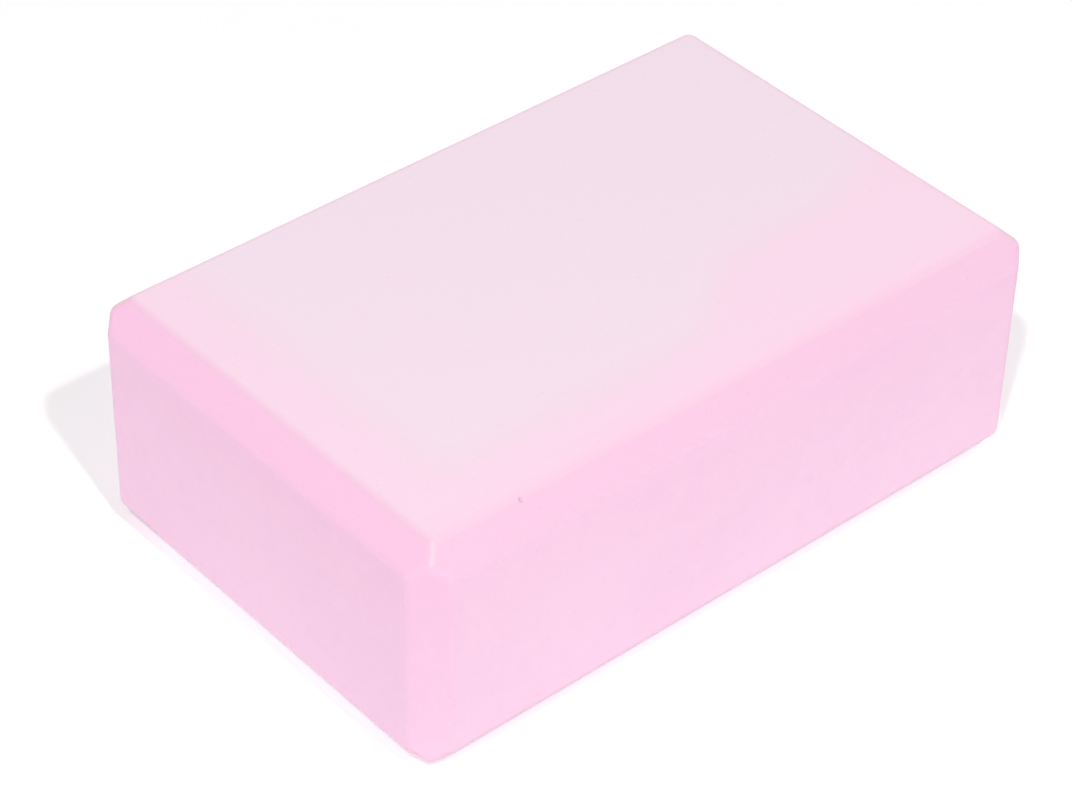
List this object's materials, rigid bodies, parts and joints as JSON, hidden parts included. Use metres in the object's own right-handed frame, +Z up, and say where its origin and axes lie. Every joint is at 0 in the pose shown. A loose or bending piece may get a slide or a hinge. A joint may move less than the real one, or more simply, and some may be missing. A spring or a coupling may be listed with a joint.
{
  "type": "yoga block",
  "caption": "Rectangular closed-cell foam brick with a flat bevel along every edge, laid flat, on its side or on end as a firm support in yoga and stretching.",
  "frame": {"origin": "middle of the underside, on the surface that the block lies flat on", "axes": "+X along the block's length, +Y across its width away from the front side, +Z up through its thickness"},
  "size_m": [0.23, 0.15, 0.08],
  "materials": {
    "foam": "matte pale pink closed-cell EVA foam",
    "film": "hot-melt film tinted as the foam"
  },
  "bodies": {
    "root": {"lower_foam_slab": "foam", "bond_film": "film", "upper_foam_slab": "foam"}
  },
  "joints": []
}
